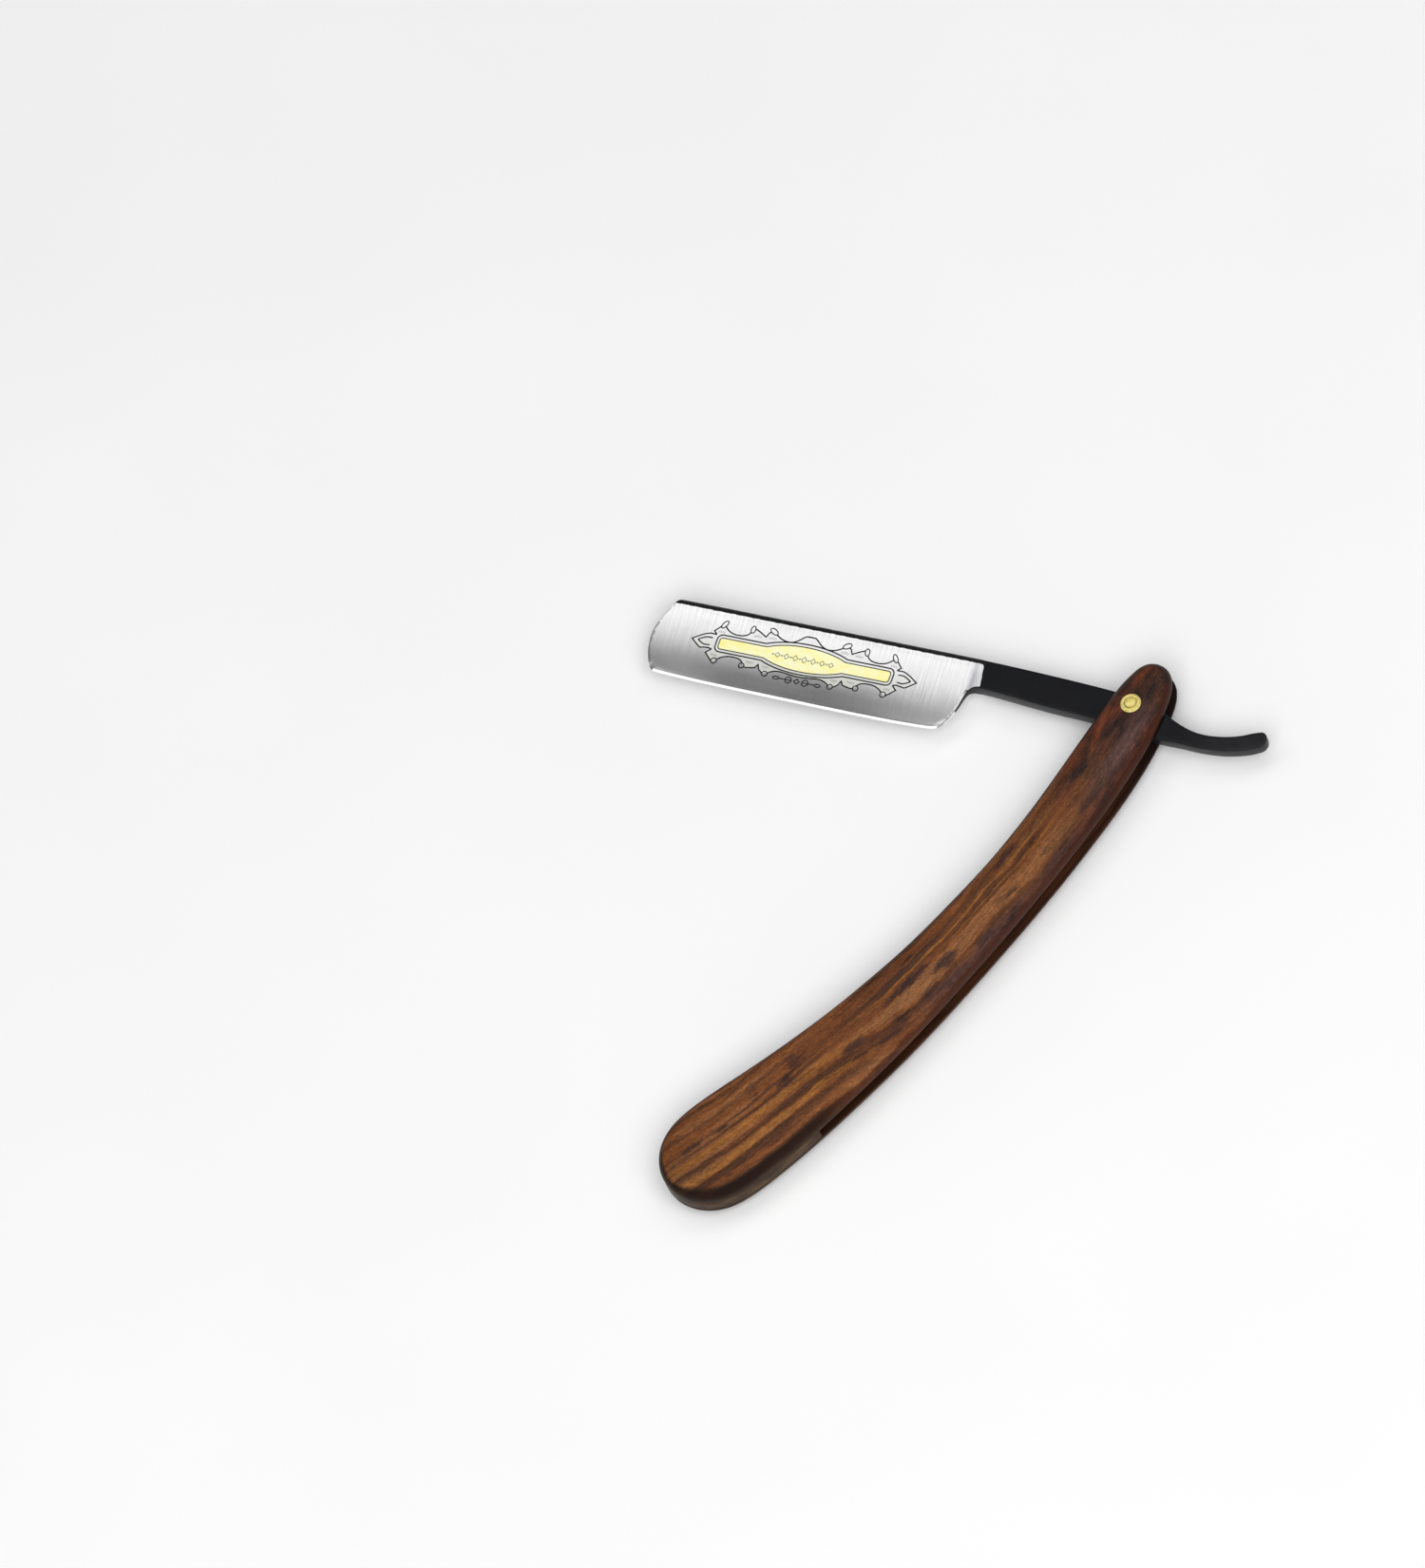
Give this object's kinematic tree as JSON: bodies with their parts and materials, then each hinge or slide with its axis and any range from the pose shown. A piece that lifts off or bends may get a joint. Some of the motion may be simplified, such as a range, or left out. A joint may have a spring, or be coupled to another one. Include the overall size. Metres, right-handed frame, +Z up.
{
  "type": "straight razor",
  "caption": "Straight razor opened part way: ground steel blade with tang and curled tail, turning on a brass pin between curved wooden scales joined by a wedge.",
  "frame": {"origin": "on the pivot axis, at the flat centre of the lower pin head", "axes": "+X from the pivot to the wedge end along the handle, +Z up along the pivot pin, and the handle's hollow side, which the blade folds into, faces -Y"},
  "size_m": [0.1726, 0.1429, 0.0119],
  "materials": {
    "blade_steel": "satin ground faces with a bright edge bevel; the spine, tang and tail carry a satin black coating",
    "scale_wood": "oiled and polished dark rosewood with a straight streaky grain",
    "wedge_wood": "the same rosewood, polished at its rim",
    "pin_brass": "polished, hammered head",
    "washer_brass": "polished with a turned ring",
    "bearing_brass": "plain sheet brass",
    "black_coat": "satin black coating on the blade's spine, tang and tail",
    "gold_wash": "thin pale gold wash in the decorative panel on the blade's face",
    "etched_line": "dark etched lines of the ornament on the blade's face"
  },
  "bodies": {
    "handle": {"front_scale": "scale_wood", "back_scale": "scale_wood", "wedge": "wedge_wood", "pivot_pin": "pin_brass", "front_outer_washer": "washer_brass", "back_outer_washer": "washer_brass", "front_inner_washer": "bearing_brass", "back_inner_washer": "bearing_brass"},
    "blade": {"blade": "blade_steel"}
  },
  "joints": [
    {"name": "blade_pivot", "type": "hinge", "parent": "handle", "child": "blade", "pos_m": [0, 0, 0.00595], "axis": [0, 0, 1], "range_deg": [-262, 63]}
  ]
}
